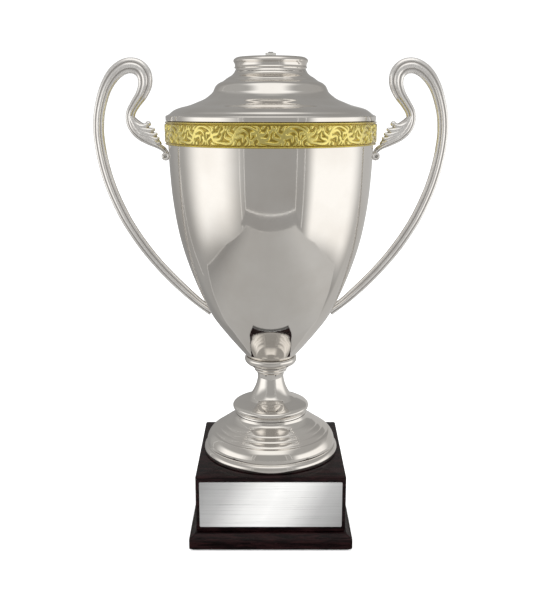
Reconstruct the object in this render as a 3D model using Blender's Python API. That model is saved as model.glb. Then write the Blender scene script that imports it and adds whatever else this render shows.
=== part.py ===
"""A lidded two-handled presentation cup on a square lacquered base.

The cup stands at the world origin: +Z is up, the handles lie along X and the name plate faces -Y.
Every size below is in millimetres. The meshes are made in metres.
"""

import math

import bmesh
import bpy
from mathutils import Matrix, Vector

MM = 0.001

# Driving dimensions, in millimetres.
GAP = 0.3  # clearance between pieces that rest on or in each other
BLOCK_SIDE = 102.8
BLOCK_TOP = 52.9
PLINTH_SIDE = 112.2
PLINTH_TOP = 11.8
PLINTH_FACE_TOP = 8.8
FELT_THICKNESS = 0.9
PLATE_WIDTH = 97.5
PLATE_HEIGHT = 33.0
PLATE_THICKNESS = 0.8
PLATE_BELOW_BLOCK_TOP = 3.6
NUT_WELL = 10.5  # depth of the well for the nut, under the block
NUT_WELL_RADIUS = 11.0
PLINTH_HOLE_RADIUS = 13.0
FOOT_REST = BLOCK_TOP + GAP
FOOT_TOP = 81.6
STEM_BOTTOM = FOOT_TOP + GAP
STEM_TOP = 116.4
SHELL = 1.0  # wall of the spun bowl and lid
BOWL_FLOOR = 120.5  # underside of the bowl
BOWL_MOUTH = 287.6  # top edge of the bowl's wall
MOUTH_RADIUS = 69.0
BAND_BOTTOM = 272.9
BAND_TOP = 287.9
LID_SEAT = BAND_TOP + GAP  # underside of the lid's rim
LID_TOP = 319.8  # flat top of the dome, under the cap
CAP_TOP = 329.4
CAP_FLOOR = CAP_TOP - 0.5  # flat top of the cap inside its lip, under the nut
FINIAL_TOP = 332.8  # end of the stud, the highest point
ROD_RADIUS = 2.9
ROD_HOLE = 3.4
STUD_RADIUS = 1.9
STUD_HOLE = 2.3
STUD_BOTTOM = 312.0
THREAD_ROOM = 0.1  # how much smaller a nut's hole is than the hole the rod passes through
ROD_NUT = 10.0  # across flats
ROD_NUT_HEIGHT = 5.0
ROD_BEYOND_NUT = 2.0  # length of rod that shows past each nut
BASE_WASHER_RADIUS = 9.0
BASE_WASHER = 1.5  # thickness
BOWL_WASHER_RADIUS = 7.4
BOWL_WASHER = 1.2
LID_NUT = 7.0
LID_NUT_HEIGHT = 3.0
LID_WASHER_RADIUS = 4.5
LID_WASHER = 0.8

LARGE_STEPS = 32  # facets round the bowl, band, lid and foot
SMALL_STEPS = 24  # facets round the stem and the caps
FASTENER_STEPS = 16
SHARP_ANGLE = math.radians(35)


def clear_scene():
    for obj in list(bpy.data.objects):
        bpy.data.objects.remove(obj, do_unlink=True)


def make_material(name, colour, metallic, roughness):
    material = bpy.data.materials.new(name)
    material.use_nodes = True
    shader = material.node_tree.nodes["Principled BSDF"]
    shader.inputs["Base Color"].default_value = (*colour, 1.0)
    shader.inputs["Metallic"].default_value = metallic
    shader.inputs["Roughness"].default_value = roughness
    return material


def make_object(name, shape, material):
    """Turns a bmesh in millimetres into a smooth-shaded object in metres."""
    bmesh.ops.scale(shape, vec=(MM, MM, MM), verts=shape.verts)
    bmesh.ops.remove_doubles(shape, verts=shape.verts, dist=1e-7)
    bmesh.ops.recalc_face_normals(shape, faces=shape.faces)
    mesh = bpy.data.meshes.new(name)
    shape.to_mesh(mesh)
    shape.free()
    mesh.shade_smooth()
    mesh.set_sharp_from_angle(angle=SHARP_ANGLE)
    mesh.materials.append(material)
    obj = bpy.data.objects.new(name, mesh)
    bpy.context.scene.collection.objects.link(obj)
    return obj


def hide_as_tool(obj):
    """Marks a cutter, or a shape that is joined into another, as a helper."""
    obj.hide_render = True
    obj.display_type = "WIRE"


def combine(obj, tool, operation):
    """Adds a Boolean that joins the tool to the object or cuts it away."""
    hide_as_tool(tool)
    boolean = obj.modifiers.new(tool.name, "BOOLEAN")
    boolean.operation = operation
    boolean.solver = "EXACT"
    boolean.object = tool


# ---------------------------------------------------------------- outlines


def catmull_rom(before, start, stop, after, t):
    """One coordinate of a smooth curve between start and stop, at the share t of the way."""
    return 0.5 * (
        2 * start
        + t * (stop - before)
        + t * t * (2 * before - 5 * start + 4 * stop - after)
        + t**3 * (3 * start - before - 3 * stop + after)
    )


def curve_through(keys, steps):
    """Points along a smooth curve that passes through every key point."""
    ends = [keys[0], *keys, keys[-1]]
    points = []
    for before, start, stop, after in zip(ends, ends[1:], ends[2:], ends[3:]):
        for step in range(steps):
            coordinates = zip(before, start, stop, after)
            points.append(tuple(catmull_rom(*four, step / steps) for four in coordinates))
    points.append(tuple(keys[-1]))
    return points


def arc(centre, radius, start, stop, steps):
    """Points on a circular arc in the (radius, height) plane; angles in degrees."""
    points = []
    for step in range(steps + 1):
        angle = math.radians(start + (stop - start) * step / steps)
        points.append((centre[0] + radius * math.cos(angle), centre[1] + radius * math.sin(angle)))
    return points


def offset_outline(points, distance):
    """The outline moved sideways, to the left of its direction of travel."""
    moved = []
    for index, point in enumerate(points):
        before = points[max(index - 1, 0)]
        after = points[min(index + 1, len(points) - 1)]
        along = Vector((after[0] - before[0], after[1] - before[1])).normalized()
        moved.append((point[0] - along.y * distance, point[1] + along.x * distance))
    return moved


def turned(name, outline, material, steps=LARGE_STEPS):
    """A solid of revolution about the Z axis from a closed (radius, height) outline."""
    shape = bmesh.new()
    verts = [shape.verts.new((radius, 0.0, height)) for radius, height in outline]
    edges = [shape.edges.new((a, b)) for a, b in zip(verts, verts[1:] + verts[:1]) if a.co.x > 0 or b.co.x > 0]
    bmesh.ops.spin(
        shape,
        geom=verts + edges,
        axis=(0.0, 0.0, 1.0),
        cent=(0.0, 0.0, 0.0),
        angle=2 * math.pi,
        steps=steps,
        use_merge=True,
    )
    bmesh.ops.remove_doubles(shape, verts=shape.verts, dist=1e-4)
    return make_object(name, shape, material)


def square_tier(shape, half, height):
    """Four corners of a square at a height, counted anticlockwise from above."""
    corners = [(-half, -half), (half, -half), (half, half), (-half, half)]
    return [shape.verts.new((x, y, height)) for x, y in corners]


def stacked_squares(name, tiers, material, edge_radius):
    """A square block whose side changes from tier to tier, with its outer edges rounded."""
    shape = bmesh.new()
    rings = [square_tier(shape, half, height) for half, height in tiers]
    shape.faces.new(reversed(rings[0]))
    shape.faces.new(rings[-1])
    for lower, upper in zip(rings, rings[1:]):
        for side in range(4):
            after = (side + 1) % 4
            shape.faces.new((lower[side], lower[after], upper[after], upper[side]))
    bmesh.ops.bevel(
        shape,
        geom=shape.edges[:],
        offset=edge_radius,
        offset_type="OFFSET",
        segments=2,
        profile=0.5,
        affect="EDGES",
    )
    return make_object(name, shape, material)


def plain_box(name, low, high, material):
    shape = bmesh.new()
    bmesh.ops.create_cube(shape, size=1.0)
    size = [b - a for a, b in zip(low, high)]
    middle = [(a + b) / 2 for a, b in zip(low, high)]
    bmesh.ops.scale(shape, vec=size, verts=shape.verts)
    bmesh.ops.translate(shape, vec=middle, verts=shape.verts)
    return make_object(name, shape, material)


def cylinder_outline(radius, bottom, top):
    return [(0.0, bottom), (radius, bottom), (radius, top), (0.0, top)]


def ring_outline(inner, outer, bottom, top):
    return [(inner, bottom), (outer, bottom), (outer, top), (inner, top)]


# ---------------------------------------------------------------- fasteners


def hex_nut(name, across_flats, hole, bottom, top, material):
    """A hexagon nut with chamfered corners and a round hole, on the Z axis."""
    corner = across_flats / 2 / math.cos(math.pi / 6)
    chamfer = 0.12 * across_flats
    outline = [
        (0.0, bottom),
        (corner - chamfer, bottom),
        (corner, bottom + chamfer / 2),
        (corner, top - chamfer / 2),
        (corner - chamfer, top),
        (0.0, top),
    ]
    nut = turned(name, outline, material, steps=6)
    bore = turned(name + "_bore", cylinder_outline(hole, bottom - 1.0, top + 1.0), material, FASTENER_STEPS)
    combine(nut, bore, "DIFFERENCE")
    return nut


def washer(name, hole, radius, bottom, thickness, material):
    outline = ring_outline(hole, radius, bottom, bottom + thickness)
    return turned(name, outline, material, FASTENER_STEPS)


# ---------------------------------------------------------------- base


def build_base(felt, lacquer, brushed):
    plain_box(
        "base_felt_pad",
        (-PLINTH_SIDE / 2 + 1.5, -PLINTH_SIDE / 2 + 1.5, 0.0),
        (PLINTH_SIDE / 2 - 1.5, PLINTH_SIDE / 2 - 1.5, FELT_THICKNESS),
        felt,
    )
    lip = BLOCK_SIDE / 2 + 0.4
    plinth_bottom = FELT_THICKNESS + GAP
    plinth = stacked_squares(
        "base_plinth",
        [
            (PLINTH_SIDE / 2, plinth_bottom),
            (PLINTH_SIDE / 2, PLINTH_FACE_TOP),
            (lip, PLINTH_TOP - 0.8),
            (lip, PLINTH_TOP),
        ],
        lacquer,
        edge_radius=0.35,
    )
    well = turned(
        "plinth_well", cylinder_outline(PLINTH_HOLE_RADIUS, -1.0, PLINTH_TOP + 1.0), lacquer, SMALL_STEPS
    )
    combine(plinth, well, "DIFFERENCE")

    block_bottom = PLINTH_TOP + GAP
    block = stacked_squares(
        "base_block",
        [(BLOCK_SIDE / 2, block_bottom), (BLOCK_SIDE / 2, BLOCK_TOP)],
        lacquer,
        edge_radius=1.0,
    )
    stepped_hole = [
        (0.0, block_bottom - 1.0),
        (NUT_WELL_RADIUS, block_bottom - 1.0),
        (NUT_WELL_RADIUS, block_bottom + NUT_WELL),
        (ROD_HOLE, block_bottom + NUT_WELL),
        (ROD_HOLE, BLOCK_TOP + 1.0),
        (0.0, BLOCK_TOP + 1.0),
    ]
    combine(block, turned("block_bore", stepped_hole, lacquer, SMALL_STEPS), "DIFFERENCE")

    front = -BLOCK_SIDE / 2 - GAP
    plate_top = BLOCK_TOP - PLATE_BELOW_BLOCK_TOP
    plain_box(
        "name_plate",
        (-PLATE_WIDTH / 2, front - PLATE_THICKNESS, plate_top - PLATE_HEIGHT),
        (PLATE_WIDTH / 2, front, plate_top),
        brushed,
    )


# ---------------------------------------------------------------- foot and stem

def build_foot(silver):
    """A spun shell, open below: a rolled rim, a convex roll and a stepped cone."""
    rim = [(46.2, FOOT_REST), (48.4, FOOT_REST), (48.4, 56.3), (47.6, 57.8), (46.3, 58.5)]
    roll = curve_through([(46.2, 59.3), (46.0, 62.0), (44.9, 65.4), (42.6, 68.1)], 2)
    cone = [(41.2, 68.6), (40.4, 69.9), (37.8, 71.1), (36.8, 72.6), (34.4, 73.6), (33.3, 75.2), (31.0, 76.2)]
    neck = [(30.0, 77.6), (27.4, 79.4), (26.0, FOOT_TOP)]
    inside = [
        (ROD_HOLE, FOOT_TOP),
        (ROD_HOLE, FOOT_TOP - 1.6),
        (24.2, FOOT_TOP - 1.6),
        (33.6, 71.8),
        (42.6, 65.6),
        (44.6, 60.4),
    ]
    return turned("foot", rim + roll + cone + neck + inside, silver)


def build_stem(silver):
    """The knop and the waisted neck, cast in one, and the seat ring under the bowl."""
    knop = curve_through([(24.6, STEM_BOTTOM + 0.6), (26.9, 84.0), (27.4, 86.1), (25.6, 88.7), (21.8, 90.5)], 2)
    neck = curve_through(
        [(18.0, 92.1), (14.4, 94.8), (12.0, 98.8), (10.2, 103.4), (9.3, 108.4), (10.2, 112.3)], 2
    )
    top = [(11.4, 112.8), (11.6, 114.2), (12.9, 115.6), (12.9, STEM_TOP)]
    outline = [(ROD_HOLE, STEM_BOTTOM), (24.2, STEM_BOTTOM), *knop, *neck, *top, (ROD_HOLE, STEM_TOP)]
    turned("stem_column", outline, silver, SMALL_STEPS)

    seat_bottom = STEM_TOP + GAP
    outside = [
        (13.2, seat_bottom),
        (16.4, 118.2),
        (18.0, 119.8),
        (18.6, 121.4),
        (18.5, 122.8),
        (17.8, 123.9),
        (16.9, 123.7),
    ]
    dish = [(15.2, 121.9), (12.1, 120.4), (8.5, BOWL_FLOOR - GAP), (ROD_HOLE, BOWL_FLOOR - GAP)]
    outline = [(ROD_HOLE, seat_bottom), *outside, *dish]
    turned("stem_collar", outline, silver, SMALL_STEPS)


def build_tie_rod(steel):
    """One long stud clamps the base, the foot, the stem and the bowl together."""
    block_bottom = PLINTH_TOP + GAP
    nut_hole = ROD_HOLE - THREAD_ROOM
    washer_bottom = block_bottom + NUT_WELL - GAP - BASE_WASHER
    washer("tie_rod_washer_bottom", ROD_HOLE, BASE_WASHER_RADIUS, washer_bottom, BASE_WASHER, steel)
    lower_top = washer_bottom - GAP
    lower_bottom = lower_top - ROD_NUT_HEIGHT
    hex_nut("tie_rod_nut_bottom", ROD_NUT, nut_hole, lower_bottom, lower_top, steel)
    washer_bottom = BOWL_FLOOR + SHELL + GAP
    washer("tie_rod_washer_top", ROD_HOLE, BOWL_WASHER_RADIUS, washer_bottom, BOWL_WASHER, steel)
    upper_bottom = washer_bottom + BOWL_WASHER + GAP
    upper_top = upper_bottom + ROD_NUT_HEIGHT
    hex_nut("tie_rod_nut_top", ROD_NUT, nut_hole, upper_bottom, upper_top, steel)
    rod = cylinder_outline(ROD_RADIUS, lower_bottom - ROD_BEYOND_NUT, upper_top + ROD_BEYOND_NUT)
    turned("tie_rod", rod, steel, FASTENER_STEPS)


# ---------------------------------------------------------------- bowl and band

# Key points of the bowl's outer wall, from the floor to the mouth, as (radius, height).
BOWL_KEYS = [
    (8.5, BOWL_FLOOR),
    (12.2, 120.9),
    (15.4, 122.4),
    (18.8, 126.0),
    (25.6, 134.0),
    (33.6, 144.0),
    (41.4, 155.0),
    (48.8, 170.0),
    (55.2, 186.0),
    (60.4, 202.0),
    (64.1, 218.0),
    (67.0, 238.0),
    (68.5, 258.0),
    (MOUTH_RADIUS, 274.0),
    (MOUTH_RADIUS, BOWL_MOUTH),
]


def bowl_wall():
    return curve_through(BOWL_KEYS, 1)


def build_bowl(silver):
    outside = bowl_wall()
    inside = offset_outline(outside, SHELL)
    inside[-1] = (MOUTH_RADIUS - SHELL, BOWL_MOUTH)
    inside[0] = (outside[0][0], BOWL_FLOOR + SHELL)
    outline = [(ROD_HOLE, BOWL_FLOOR), *outside, *reversed(inside), (ROD_HOLE, BOWL_FLOOR + SHELL)]
    return turned("bowl", outline, silver)


def build_band(gold):
    """A gilt ring pressed round the mouth, with a thin plain edge above and below its relief."""
    inner = MOUTH_RADIUS + GAP
    outline = [
        (inner, BAND_BOTTOM),
        (69.9, BAND_BOTTOM),
        (70.4, 273.4),
        (70.9, 277.0),
        (71.2, 282.0),
        (71.0, 286.6),
        (70.3, BAND_TOP),
        (inner, BAND_TOP),
    ]
    return turned("rim_band", outline, gold)


# ---------------------------------------------------------------- handles

# The strap's centre line on the +X side, from its foot on the bowl to its upper curl,
# as (x, z, half width in the XZ plane, half depth along Y).
HANDLE_KEYS = [
    (41.6, 156.4, 3.5, 3.2),
    (49.6, 161.9, 3.0, 3.0),
    (58.0, 169.2, 3.3, 2.8),
    (69.7, 180.7, 3.5, 2.6),
    (79.8, 192.0, 3.5, 2.6),
    (88.4, 203.2, 3.6, 2.6),
    (95.7, 214.4, 3.6, 2.6),
    (101.8, 225.5, 3.7, 2.6),
    (108.7, 241.9, 3.7, 2.6),
    (113.3, 258.1, 3.7, 2.6),
    (115.8, 274.2, 3.7, 2.6),
    (116.0, 286.0, 3.7, 2.6),
    (114.4, 297.0, 3.8, 2.6),
    (110.2, 309.6, 4.1, 2.7),
    (104.0, 318.8, 4.7, 2.9),
    (96.6, 323.6, 5.0, 3.0),
    (89.5, 323.5, 5.2, 3.1),
    (84.6, 319.2, 5.1, 3.1),
    (83.7, 312.5, 4.7, 3.0),
    (86.3, 305.6, 4.0, 2.8),
    (90.6, 299.4, 3.4, 2.6),
    (93.9, 293.6, 3.2, 2.5),
    (94.3, 287.8, 3.1, 2.5),
    (92.2, 282.4, 3.0, 2.5),
    (87.8, 277.7, 2.7, 2.5),
    (81.8, 274.2, 2.3, 2.4),
    (76.8, 271.4, 1.8, 2.2),
    (73.2, 268.0, 1.5, 2.2),
]
# One quarter of the reeded section as (share of half width, share of half depth): three ribs, two grooves.
REED_SECTION = [(1.0, 0.0), (0.68, 0.85), (0.36, 0.62), (0.0, 1.0), (-0.36, 0.62), (-0.68, 0.85)]
# Outline of the leaf that backs the upper curl, as (x, z) on the +X side.
LEAF_KEYS = [
    (92.2, 289.0),
    (87.2, 285.3),
    (84.4, 285.6),
    (83.2, 287.7),
    (81.4, 288.0),
    (80.0, 286.0),
    (78.0, 282.6),
    (75.8, 278.6),
    (74.6, 275.0),
    (76.6, 272.6),
    (84.0, 275.4),
    (91.0, 281.4),
]
LEAF_HALF_DEPTH = 3.4
SCROLL_CENTRE = (72.3, 264.9)
SCROLL_RADIUS = 3.6
SCROLL_HALF_DEPTH = 3.2
LOWER_SCREW_HEIGHT = 160.5
UPPER_SCREW_HEIGHT = 264.9
SCREW_RADIUS = 1.25
SCREW_HOLE = 1.7
SCREW_HEAD_RADIUS = 2.8
SCREW_HEAD = 2.0  # height
SCREW_REACH = 4.4  # how far the shank runs out beyond the bowl's outer wall
SCREW_WASHER_RADIUS = 3.5
SCREW_WASHER = 0.6


def strap(name, side, material):
    """The reeded strap: its section swept along the centre line."""
    shape = bmesh.new()
    stations = curve_through(HANDLE_KEYS, 2)
    section = REED_SECTION + [(-across, -deep) for across, deep in REED_SECTION]
    rings = []
    for index, (x, z, half_width, half_depth) in enumerate(stations):
        before = stations[max(index - 1, 0)]
        after = stations[min(index + 1, len(stations) - 1)]
        along = Vector((after[0] - before[0], after[1] - before[1])).normalized()
        ring = []
        for across, deep in section:
            sideways = across * half_width
            place = (side * (x - along.y * sideways), deep * half_depth, z + along.x * sideways)
            ring.append(shape.verts.new(place))
        rings.append(ring)
    shape.faces.new(rings[0])
    shape.faces.new(rings[-1])
    for ring, following in zip(rings, rings[1:]):
        for index in range(len(section)):
            after = (index + 1) % len(section)
            shape.faces.new((ring[index], ring[after], following[after], following[index]))
    return make_object(name, shape, material)


def leaf(name, side, material):
    """A plate with rounded edges over the leaf's outline."""
    shape = bmesh.new()
    ring = [shape.verts.new((side * x, -LEAF_HALF_DEPTH, z)) for x, z in LEAF_KEYS]
    face = shape.faces.new(ring)
    raised = bmesh.ops.extrude_face_region(shape, geom=[face])
    lifted = [item for item in raised["geom"] if isinstance(item, bmesh.types.BMVert)]
    bmesh.ops.translate(shape, vec=(0.0, 2 * LEAF_HALF_DEPTH, 0.0), verts=lifted)
    bmesh.ops.recalc_face_normals(shape, faces=shape.faces)
    rims = [edge for edge in shape.edges if abs(edge.verts[0].co.y - edge.verts[1].co.y) < 1e-6]
    bmesh.ops.bevel(shape, geom=rims, offset=0.8, offset_type="OFFSET", segments=1, profile=0.5, affect="EDGES")
    return make_object(name, shape, material)


def scroll(name, side, material):
    """The small roll that ends the handle, lying along Y against the bowl."""
    shape = bmesh.new()
    bmesh.ops.create_cone(
        shape,
        cap_ends=True,
        segments=18,
        radius1=SCROLL_RADIUS,
        radius2=SCROLL_RADIUS,
        depth=2 * SCROLL_HALF_DEPTH,
    )
    bmesh.ops.rotate(shape, matrix=Matrix.Rotation(math.pi / 2, 3, "X"), verts=shape.verts)
    bmesh.ops.translate(shape, vec=(side * SCROLL_CENTRE[0], 0.0, SCROLL_CENTRE[1]), verts=shape.verts)
    return make_object(name, shape, material)


def screw_placement(side, height):
    """World matrix whose origin is on the bowl's outer wall and whose Z axis points out of it."""
    wall = bowl_wall()
    lower, upper = next((a, b) for a, b in zip(wall, wall[1:]) if a[1] <= height <= b[1])
    share = (height - lower[1]) / (upper[1] - lower[1])
    radius = lower[0] + share * (upper[0] - lower[0])
    normal = Vector((side * (upper[1] - lower[1]), 0.0, lower[0] - upper[0])).normalized()
    turn = Vector((0.0, 0.0, 1.0)).rotation_difference(normal).to_matrix().to_4x4()
    return Matrix.Translation(Vector((side * radius, 0.0, height)) * MM) @ turn


def screw_bore(name, placement, start, stop, material):
    bore = turned(name, cylinder_outline(SCREW_HOLE, start, stop), material, FASTENER_STEPS)
    bore.matrix_world = placement
    return bore


def build_handle(word, side, bowl, silver, steel):
    """One cast handle, held at both ends by a screw and a washer inside the bowl."""
    handle = strap("handle_" + word, side, silver)
    combine(handle, leaf("leaf_" + word, side, silver), "UNION")
    combine(handle, scroll("scroll_" + word, side, silver), "UNION")
    wall = bowl_wall()
    clearance = [(0.0, BOWL_FLOOR), *offset_outline(wall, -GAP), (0.0, BOWL_MOUTH)]
    combine(handle, turned("bowl_clearance_" + word, clearance, silver), "DIFFERENCE")
    for level, height in (("lower", LOWER_SCREW_HEIGHT), ("upper", UPPER_SCREW_HEIGHT)):
        tag = word + "_" + level
        placement = screw_placement(side, height)
        depth = SCREW_REACH + 2 * GAP
        combine(handle, screw_bore("handle_bore_" + tag, placement, -2.0, depth, silver), "DIFFERENCE")
        combine(bowl, screw_bore("wall_bore_" + tag, placement, -3.0, 2.0, silver), "DIFFERENCE")
        washer_start = -SHELL - 2 * GAP - SCREW_WASHER
        ring = washer(
            "handle_washer_" + tag, SCREW_HOLE, SCREW_WASHER_RADIUS, washer_start, SCREW_WASHER, steel
        )
        ring.matrix_world = placement
        head = washer_start - GAP
        outline = [
            (0.0, head - SCREW_HEAD),
            (0.75 * SCREW_HEAD_RADIUS, head - SCREW_HEAD),
            (SCREW_HEAD_RADIUS, head - 0.7 * SCREW_HEAD),
            (SCREW_HEAD_RADIUS, head),
            (SCREW_RADIUS, head),
            (SCREW_RADIUS, SCREW_REACH),
            (0.0, SCREW_REACH),
        ]
        bolt = turned("handle_screw_" + tag, outline, steel, FASTENER_STEPS)
        bolt.matrix_world = placement


# ---------------------------------------------------------------- lid


def build_lid(silver, steel):
    """Everything that lifts off with the lid, on an empty at the lid's seat."""
    rim = [(68.2, LID_SEAT), (70.0, LID_SEAT), *arc((69.2, 289.8), 1.4, -40, 60, 4)]
    step = [(68.4, 291.7), (67.7, 292.6), (66.3, 294.2), (64.9, 295.0), (63.2, 295.8)]
    sweep = curve_through([(60.2, 296.9), (54.0, 298.5), (48.6, 300.6), (44.0, 302.6), (40.2, 305.4)], 1)
    shoulder = curve_through([(37.9, 308.2), (36.8, 310.4), (34.6, 312.5), (31.8, 314.1)], 1)
    neck = curve_through([(30.6, 315.2), (27.4, 317.2), (25.2, 318.9), (24.2, LID_TOP)], 1)
    inside = [
        (STUD_HOLE, LID_TOP),
        (STUD_HOLE, LID_TOP - SHELL),
        (22.6, LID_TOP - SHELL),
        (33.4, 311.4),
        (38.8, 304.6),
        (43.4, 301.4),
        (53.4, 297.4),
        (62.6, 294.8),
        (66.4, 292.0),
        (67.6, 290.0),
    ]
    dome = turned("lid_dome", rim + step + sweep + shoulder + neck + inside, silver)

    ring_outer = MOUTH_RADIUS - SHELL - 2 * GAP
    ring = turned(
        "lid_locating_ring",
        [
            (ring_outer - 1.2, 280.5),
            (ring_outer - 0.3, 280.5),
            (ring_outer, 281.2),
            (ring_outer, 286.0),
            (ring_outer - 2.4, 291.6),
            (ring_outer - 3.6, 291.6),
            (ring_outer - 1.2, 286.0),
        ],
        silver,
    )

    cap_bottom = LID_TOP + GAP
    cap = turned(
        "lid_top_collar",
        [
            (22.6, cap_bottom),
            (24.0, cap_bottom),
            (23.7, 323.4),
            (24.0, 326.2),
            (24.8, 328.4),
            (24.6, 329.2),
            (23.9, CAP_TOP),
            (22.8, CAP_FLOOR),
            (STUD_HOLE, CAP_FLOOR),
            (STUD_HOLE, CAP_FLOOR - SHELL),
            (22.6, CAP_FLOOR - SHELL),
        ],
        silver,
        SMALL_STEPS,
    )

    nut_hole = STUD_HOLE - THREAD_ROOM
    nut_bottom = CAP_FLOOR + GAP
    upper_nut = hex_nut("lid_nut_top", LID_NUT, nut_hole, nut_bottom, FINIAL_TOP - 0.8, steel)
    washer_bottom = LID_TOP - SHELL - GAP - LID_WASHER
    seat = washer("lid_washer_bottom", STUD_HOLE, LID_WASHER_RADIUS, washer_bottom, LID_WASHER, steel)
    nut_top = washer_bottom - GAP
    lower_nut = hex_nut("lid_nut_bottom", LID_NUT, nut_hole, nut_top - LID_NUT_HEIGHT, nut_top, steel)
    stud = turned("lid_stud", cylinder_outline(STUD_RADIUS, STUD_BOTTOM, FINIAL_TOP), steel, FASTENER_STEPS)

    seat_empty = bpy.data.objects.new("lid", None)
    seat_empty.location = (0.0, 0.0, LID_SEAT * MM)
    bpy.context.scene.collection.objects.link(seat_empty)
    bpy.context.view_layer.update()
    for piece in (dome, ring, cap, upper_nut, seat, lower_nut, stud):
        piece.parent = seat_empty
        piece.matrix_parent_inverse = seat_empty.matrix_world.inverted()


def main():
    clear_scene()
    silver = make_material("polished_silver", (0.72, 0.70, 0.67), 1.0, 0.12)
    gold = make_material("gilt", (0.72, 0.56, 0.16), 1.0, 0.28)
    lacquer = make_material("rosewood_lacquer", (0.035, 0.012, 0.011), 0.0, 0.08)
    brushed = make_material("brushed_plate", (0.78, 0.78, 0.78), 1.0, 0.32)
    felt = make_material("felt", (0.03, 0.03, 0.03), 0.0, 0.95)
    steel = make_material("zinc_plated_steel", (0.62, 0.62, 0.60), 1.0, 0.35)

    build_base(felt, lacquer, brushed)
    build_foot(silver)
    build_stem(silver)
    build_tie_rod(steel)
    bowl = build_bowl(silver)
    build_band(gold)
    build_handle("left", -1, bowl, silver, steel)
    build_handle("right", 1, bowl, silver, steel)
    build_lid(silver, steel)


main()
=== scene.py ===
"""The looks of a lidded two-handled presentation cup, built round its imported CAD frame.

Sizes are in millimetres and the meshes are made in metres. The cup stands at the world origin with +Z up,
its handles lie along X and its name plate faces -Y.
"""

import math

import bmesh
import bpy
import numpy as np
from mathutils import Matrix, Vector


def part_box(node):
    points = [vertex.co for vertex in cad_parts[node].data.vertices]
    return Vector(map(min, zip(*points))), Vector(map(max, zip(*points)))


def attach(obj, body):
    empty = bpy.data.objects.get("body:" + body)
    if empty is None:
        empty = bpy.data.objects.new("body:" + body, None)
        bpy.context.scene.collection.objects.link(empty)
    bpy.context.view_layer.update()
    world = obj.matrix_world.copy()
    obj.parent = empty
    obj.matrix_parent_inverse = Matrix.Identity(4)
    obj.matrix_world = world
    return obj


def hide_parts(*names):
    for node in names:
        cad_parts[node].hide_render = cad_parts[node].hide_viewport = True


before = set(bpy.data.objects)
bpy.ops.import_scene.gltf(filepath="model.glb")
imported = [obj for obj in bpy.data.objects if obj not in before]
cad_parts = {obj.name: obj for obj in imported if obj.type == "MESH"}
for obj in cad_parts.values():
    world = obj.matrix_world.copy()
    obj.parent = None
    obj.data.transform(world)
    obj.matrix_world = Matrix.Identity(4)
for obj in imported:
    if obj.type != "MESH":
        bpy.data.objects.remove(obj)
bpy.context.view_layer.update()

MM = 0.001


def node_corners(node):
    """Lowest and highest corner of a CAD node, in millimetres."""
    low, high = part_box(node)
    return low / MM, high / MM


# Driving dimensions, in millimetres, from the frame.
BLOCK_LOW, BLOCK_HIGH = node_corners("base_block")
PLINTH_LOW, PLINTH_HIGH = node_corners("base_plinth")
FELT_HIGH = node_corners("base_felt_pad")[1]
PLATE_LOW, PLATE_HIGH = node_corners("name_plate")
FOOT_LOW, FOOT_HIGH = node_corners("foot")
STEM_LOW, STEM_HIGH = node_corners("stem_column")
SEAT_LOW = node_corners("stem_collar")[0]
BOWL_LOW, BOWL_HIGH = node_corners("bowl")
BAND_LOW, BAND_HIGH = node_corners("rim_band")
LID_LOW, LID_HIGH = node_corners("lid_dome")
CAP_LOW, CAP_HIGH = node_corners("lid_top_collar")
MOUTH_RADIUS = BOWL_HIGH.x
BAND_RADIUS = BAND_HIGH.x
GAP = 0.3  # clearance between pieces that rest on or in each other
SHELL = 1.0  # wall of the spun bowl and lid
ROD_HOLE = 3.4
STUD_HOLE = 2.3
THREAD_ROOM = 0.1  # how much smaller a nut's hole is than the hole its rod passes through
PLINTH_WELL = 13.0  # radius of the hole up the plinth
BLOCK_WELL = 11.0  # radius of the hollow under the block, for the lower nut
BLOCK_WELL_DEPTH = 10.5
ROD_NUT = 10.0  # across flats
STUD_NUT = 7.0
SCREW_HOLE = 1.7  # radius of the hole in a handle screw's washer
SCREW_WASHER = 3.5  # its outer radius
SCREW_WASHER_DEPTH = 0.6
SCREW_LEVELS = (("lower", 160.5), ("upper", 264.9))  # heights of the handle screws

AROUND = 192  # facets round a large turned piece
AROUND_SMALL = 96  # facets round a small one


# ---------------------------------------------------------------- outlines


def catmull_rom(before, start, stop, after, t):
    """One coordinate of a smooth curve between start and stop, at the share t of the way."""
    return 0.5 * (
        2 * start
        + t * (stop - before)
        + t * t * (2 * before - 5 * start + 4 * stop - after)
        + t**3 * (3 * start - before - 3 * stop + after)
    )


def curve_through(keys, steps):
    """Points along a smooth curve that passes through every key point."""
    ends = [keys[0], *keys, keys[-1]]
    points = []
    for before, start, stop, after in zip(ends, ends[1:], ends[2:], ends[3:]):
        for step in range(steps):
            coordinates = zip(before, start, stop, after)
            points.append(tuple(catmull_rom(*four, step / steps) for four in coordinates))
    points.append(tuple(keys[-1]))
    return points


def offset_outline(points, distance):
    """The outline moved sideways, to the left of its direction of travel."""
    moved = []
    for index, point in enumerate(points):
        before = points[max(index - 1, 0)]
        after = points[min(index + 1, len(points) - 1)]
        along = Vector((after[0] - before[0], after[1] - before[1])).normalized()
        moved.append((point[0] - along.y * distance, point[1] + along.x * distance))
    return moved


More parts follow.
